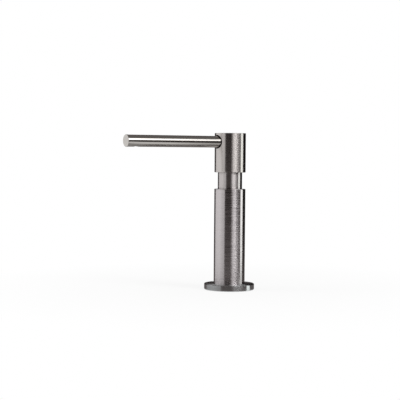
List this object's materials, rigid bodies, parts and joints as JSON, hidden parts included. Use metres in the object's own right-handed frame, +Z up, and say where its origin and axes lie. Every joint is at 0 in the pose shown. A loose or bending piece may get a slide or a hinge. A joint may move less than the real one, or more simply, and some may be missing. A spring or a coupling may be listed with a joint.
{
  "type": "soap dispenser",
  "caption": "Deck-mounted soap dispenser: a steel column on a round flange, a pump head with a straight swivelling spout that is pressed down, and a soap bottle under the deck.",
  "frame": {"origin": "on the column axis at the underside of the flange, which is the deck surface", "axes": "+Z up along the column, the spout points along -Y at rest"},
  "size_m": [0.064, 0.153, 0.3079],
  "materials": {
    "brushed_steel": "finely brushed round the column",
    "plated_steel": "bright",
    "brass": "machined",
    "black_rubber": "matt",
    "white_plastic": "moulded",
    "dark_plastic": "moulded",
    "bottle_plastic": "blown"
  },
  "bodies": {
    "stand": {"base_flange": "brushed_steel", "deck_seal": "black_rubber", "column_tube": "brushed_steel", "mounting_shank": "plated_steel", "deck_washer": "black_rubber", "clamp_washer": "plated_steel", "lock_nut": "brass", "soap_bottle": "bottle_plastic", "pump_carrier": "dark_plastic", "barrel_gasket": "black_rubber", "pump_barrel": "white_plastic", "inlet_cage": "white_plastic", "dip_tube": "white_plastic", "barrel_cap": "dark_plastic", "guide_bush": "dark_plastic", "wiper_ring": "black_rubber", "return_spring": "plated_steel"},
    "plunger": {"pump_stem": "white_plastic", "piston": "white_plastic", "outlet_cage": "white_plastic", "stem_o_ring": "black_rubber", "thrust_washer": "dark_plastic"},
    "head": {"head_shell": "brushed_steel", "head_core": "white_plastic", "neck_sleeve": "brushed_steel", "stop_ring": "plated_steel", "spout_seal": "black_rubber", "spout_tube": "brushed_steel", "outlet_nozzle": "dark_plastic", "spout_end_plug": "brushed_steel"},
    "inlet_valve": {"inlet_ball": "plated_steel"},
    "outlet_valve": {"outlet_ball": "plated_steel"}
  },
  "joints": [
    {"name": "pump_press", "type": "slide", "parent": "stand", "child": "plunger", "axis": [0, 0, -1], "range_m": [0, 0.015], "stiffness_N_per_m": 400, "springref_m": -0.02, "deforming": ["return_spring"]},
    {"name": "spout_swivel", "type": "hinge", "parent": "plunger", "child": "head", "pos_m": [0, 0, 0.1283], "axis": [0, 0, 1], "continuous": true},
    {"name": "inlet_ball_lift", "type": "slide", "parent": "stand", "child": "inlet_valve", "axis": [0, 0, 1], "range_m": [0, 0.0015]},
    {"name": "outlet_ball_lift", "type": "slide", "parent": "plunger", "child": "outlet_valve", "axis": [0, 0, 1], "range_m": [0, 0.0015]}
  ]
}
